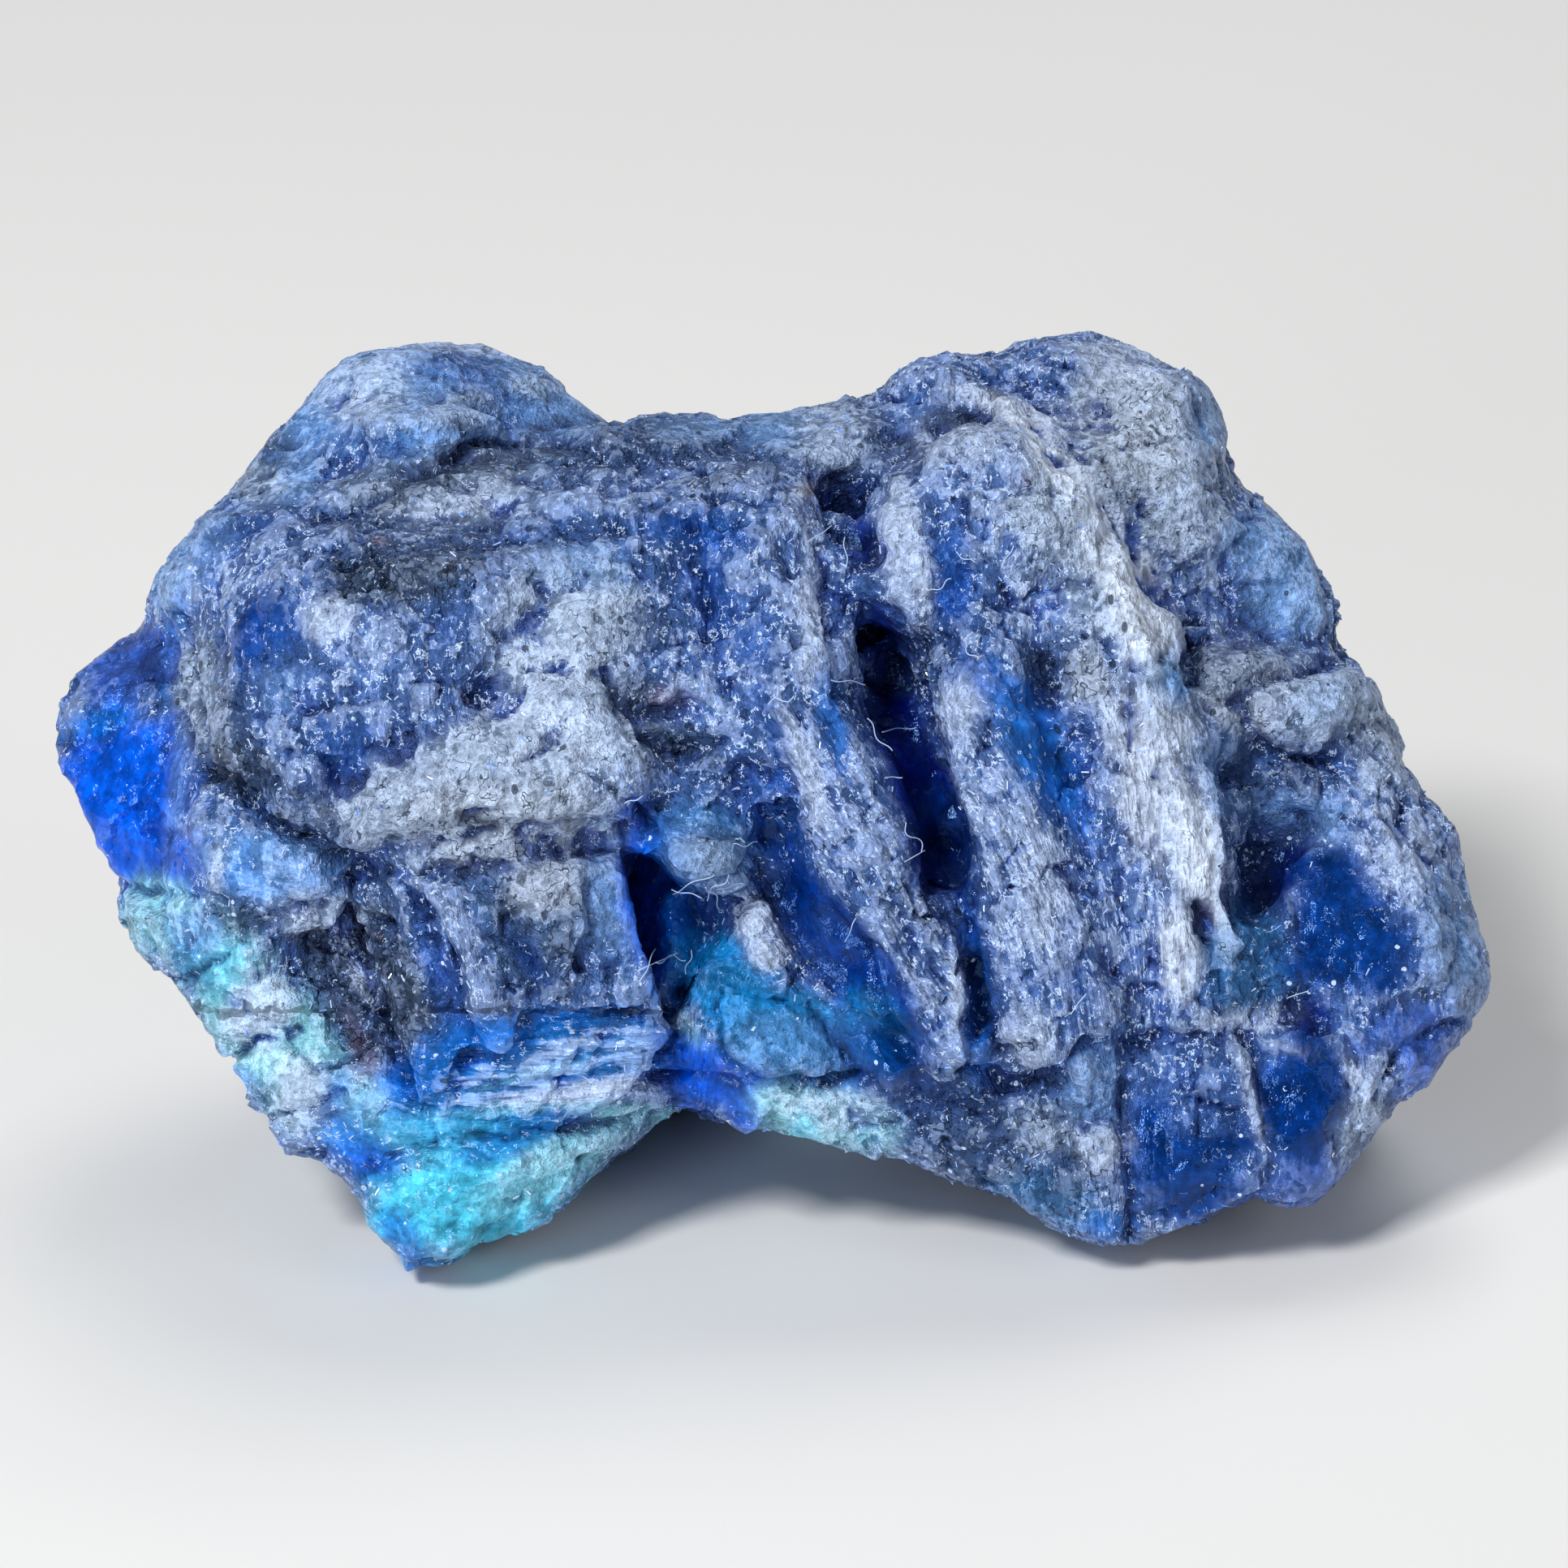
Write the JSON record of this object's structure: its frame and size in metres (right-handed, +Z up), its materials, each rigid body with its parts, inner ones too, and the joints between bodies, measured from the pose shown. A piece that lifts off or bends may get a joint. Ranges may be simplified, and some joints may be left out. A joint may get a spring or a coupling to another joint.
{
  "type": "tanzanite crystal",
  "caption": "Rough crystal cluster, a rugged lump of grown-together columns, flat-faced crystals and hollows that rests on its underside.",
  "frame": {"origin": "centre of the bounding box at the level that the stone rests on", "axes": "+X along the stone's length, +Z up, the broad face towards -Y"},
  "size_m": [0.0462, 0.0242, 0.0255],
  "materials": {
    "tanzanite_rough": "frosted blue-violet crystal with grey patches and glassy faces"
  },
  "bodies": {
    "root": {"tanzanite_crystal": "tanzanite_rough"}
  },
  "joints": []
}
